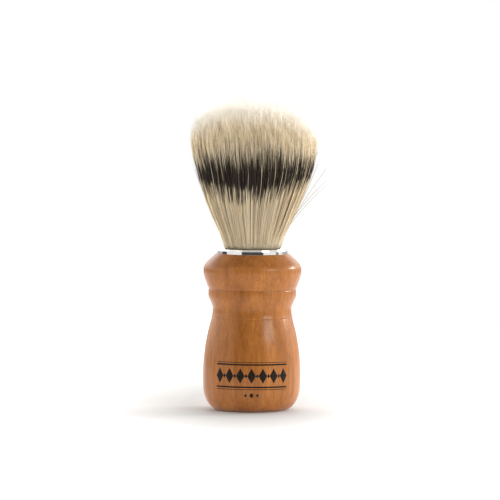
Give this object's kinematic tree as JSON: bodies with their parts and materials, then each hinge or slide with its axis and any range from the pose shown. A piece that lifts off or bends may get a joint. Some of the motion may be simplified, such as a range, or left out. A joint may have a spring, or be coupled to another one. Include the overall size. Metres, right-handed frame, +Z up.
{
  "type": "shaving brush",
  "caption": "Barber's shaving brush: a turned wooden handle, a chromed ring and a bundle of stiff bristles that splay outward.",
  "frame": {"origin": "centre of the flat foot that the brush stands on", "axes": "+Z up the turning axis, from the foot to the bristles' tips; -Y towards the printed front of the handle"},
  "size_m": [0.0436, 0.0436, 0.107],
  "materials": {
    "lacquered_beech": "satin",
    "polished_chrome": "polished",
    "epoxy_glue": "gloss",
    "cast_resin": "gloss",
    "waxed_twine": "matte",
    "boar_bristle": "satin"
  },
  "bodies": {
    "handle": {"handle": "lacquered_beech", "ferrule_ring": "polished_chrome", "socket_glue": "epoxy_glue", "resin_plug": "cast_resin", "binding_thread": "waxed_twine", "bristle_roots": "boar_bristle", "bristle_core": "boar_bristle"},
    "lock_01": {"bristle_lock_01": "boar_bristle"},
    "lock_02": {"bristle_lock_02": "boar_bristle"},
    "lock_03": {"bristle_lock_03": "boar_bristle"},
    "lock_04": {"bristle_lock_04": "boar_bristle"},
    "lock_05": {"bristle_lock_05": "boar_bristle"},
    "lock_06": {"bristle_lock_06": "boar_bristle"},
    "lock_07": {"bristle_lock_07": "boar_bristle"},
    "lock_08": {"bristle_lock_08": "boar_bristle"},
    "lock_09": {"bristle_lock_09": "boar_bristle"},
    "lock_10": {"bristle_lock_10": "boar_bristle"},
    "lock_11": {"bristle_lock_11": "boar_bristle"},
    "lock_12": {"bristle_lock_12": "boar_bristle"},
    "lock_13": {"bristle_lock_13": "boar_bristle"},
    "lock_14": {"bristle_lock_14": "boar_bristle"},
    "lock_15": {"bristle_lock_15": "boar_bristle"},
    "lock_16": {"bristle_lock_16": "boar_bristle"}
  },
  "joints": [
    {"name": "lock_01_splay", "type": "hinge", "parent": "handle", "child": "lock_01", "pos_m": [0.00971, 0.00193, 0.05695], "axis": [-0.1951, 0.9808, 0], "range_deg": [0, 25], "stiffness_Nm_per_rad": 0.02},
    {"name": "lock_02_splay", "type": "hinge", "parent": "handle", "child": "lock_02", "pos_m": [0.00823, 0.0055, 0.05695], "axis": [-0.5556, 0.8315, 0], "range_deg": [0, 25], "stiffness_Nm_per_rad": 0.02},
    {"name": "lock_03_splay", "type": "hinge", "parent": "handle", "child": "lock_03", "pos_m": [0.0055, 0.00823, 0.05695], "axis": [-0.8315, 0.5556, 0], "range_deg": [0, 25], "stiffness_Nm_per_rad": 0.02},
    {"name": "lock_04_splay", "type": "hinge", "parent": "handle", "child": "lock_04", "pos_m": [0.00193, 0.00971, 0.05695], "axis": [-0.9808, 0.1951, 0], "range_deg": [0, 25], "stiffness_Nm_per_rad": 0.02},
    {"name": "lock_05_splay", "type": "hinge", "parent": "handle", "child": "lock_05", "pos_m": [-0.00193, 0.00971, 0.05695], "axis": [-0.9808, -0.1951, 0], "range_deg": [0, 25], "stiffness_Nm_per_rad": 0.02},
    {"name": "lock_06_splay", "type": "hinge", "parent": "handle", "child": "lock_06", "pos_m": [-0.0055, 0.00823, 0.05695], "axis": [-0.8315, -0.5556, 0], "range_deg": [0, 25], "stiffness_Nm_per_rad": 0.02},
    {"name": "lock_07_splay", "type": "hinge", "parent": "handle", "child": "lock_07", "pos_m": [-0.00823, 0.0055, 0.05695], "axis": [-0.5556, -0.8315, 0], "range_deg": [0, 25], "stiffness_Nm_per_rad": 0.02},
    {"name": "lock_08_splay", "type": "hinge", "parent": "handle", "child": "lock_08", "pos_m": [-0.00971, 0.00193, 0.05695], "axis": [-0.1951, -0.9808, 0], "range_deg": [0, 25], "stiffness_Nm_per_rad": 0.02},
    {"name": "lock_09_splay", "type": "hinge", "parent": "handle", "child": "lock_09", "pos_m": [-0.00971, -0.00193, 0.05695], "axis": [0.1951, -0.9808, 0], "range_deg": [0, 25], "stiffness_Nm_per_rad": 0.02},
    {"name": "lock_10_splay", "type": "hinge", "parent": "handle", "child": "lock_10", "pos_m": [-0.00823, -0.0055, 0.05695], "axis": [0.5556, -0.8315, 0], "range_deg": [0, 25], "stiffness_Nm_per_rad": 0.02},
    {"name": "lock_11_splay", "type": "hinge", "parent": "handle", "child": "lock_11", "pos_m": [-0.0055, -0.00823, 0.05695], "axis": [0.8315, -0.5556, 0], "range_deg": [0, 25], "stiffness_Nm_per_rad": 0.02},
    {"name": "lock_12_splay", "type": "hinge", "parent": "handle", "child": "lock_12", "pos_m": [-0.00193, -0.00971, 0.05695], "axis": [0.9808, -0.1951, 0], "range_deg": [0, 25], "stiffness_Nm_per_rad": 0.02},
    {"name": "lock_13_splay", "type": "hinge", "parent": "handle", "child": "lock_13", "pos_m": [0.00193, -0.00971, 0.05695], "axis": [0.9808, 0.1951, 0], "range_deg": [0, 25], "stiffness_Nm_per_rad": 0.02},
    {"name": "lock_14_splay", "type": "hinge", "parent": "handle", "child": "lock_14", "pos_m": [0.0055, -0.00823, 0.05695], "axis": [0.8315, 0.5556, 0], "range_deg": [0, 25], "stiffness_Nm_per_rad": 0.02},
    {"name": "lock_15_splay", "type": "hinge", "parent": "handle", "child": "lock_15", "pos_m": [0.00823, -0.0055, 0.05695], "axis": [0.5556, 0.8315, 0], "range_deg": [0, 25], "stiffness_Nm_per_rad": 0.02},
    {"name": "lock_16_splay", "type": "hinge", "parent": "handle", "child": "lock_16", "pos_m": [0.00971, -0.00193, 0.05695], "axis": [0.1951, 0.9808, 0], "range_deg": [0, 25], "stiffness_Nm_per_rad": 0.02}
  ]
}
